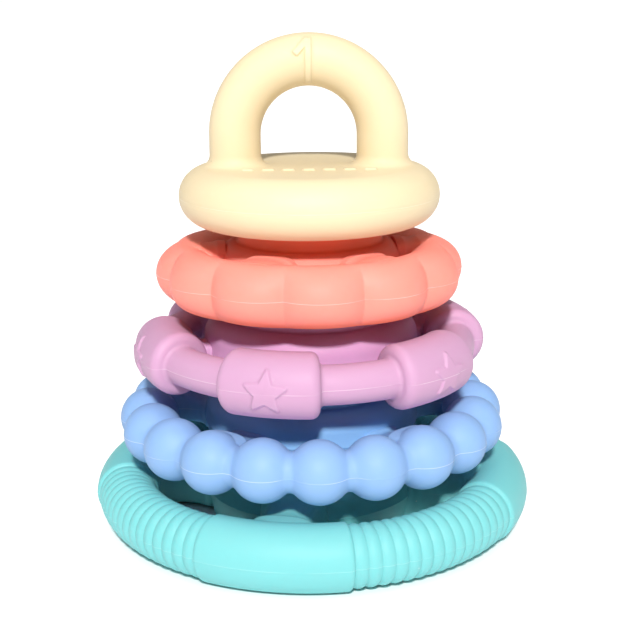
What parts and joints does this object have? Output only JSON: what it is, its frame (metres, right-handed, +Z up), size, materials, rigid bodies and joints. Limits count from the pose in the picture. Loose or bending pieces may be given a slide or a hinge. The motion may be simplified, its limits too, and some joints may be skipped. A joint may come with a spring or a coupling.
{
  "type": "ring stacker toy",
  "caption": "Stack of silicone rings whose cup-like hubs nest on one column, from a wide ribbed base up to a disc with an arched carrying handle.",
  "frame": {"origin": "on the floor under the column, at the centre of the base ring's footprint", "axes": "+Z up the column, -Y towards the front, where the raised numeral on the handle faces, +X to the right seen from the front"},
  "size_m": [0.1276, 0.1276, 0.14],
  "materials": {
    "base_ring": "matte turquoise silicone",
    "bead_ring": "matte light blue silicone",
    "star_ring": "matte lilac pink silicone",
    "scalloped_ring": "matte peach silicone",
    "handle_top": "matte cream silicone"
  },
  "bodies": {
    "base": {"base_ring": "base_ring"},
    "beads": {"bead_ring": "bead_ring"},
    "stars": {"star_ring": "star_ring"},
    "scallops": {"scalloped_ring": "scalloped_ring"},
    "top": {"handle_top": "handle_top"}
  },
  "joints": [
    {"name": "bead_ring_lift", "type": "slide", "parent": "base", "child": "beads", "axis": [0, 0, 1], "range_m": [0, 0.04]},
    {"name": "star_ring_lift", "type": "slide", "parent": "beads", "child": "stars", "axis": [0, 0, 1], "range_m": [0, 0.04]},
    {"name": "scalloped_ring_lift", "type": "slide", "parent": "stars", "child": "scallops", "axis": [0, 0, 1], "range_m": [0, 0.04]},
    {"name": "handle_top_lift", "type": "slide", "parent": "scallops", "child": "top", "axis": [0, 0, 1], "range_m": [0, 0.04]}
  ]
}
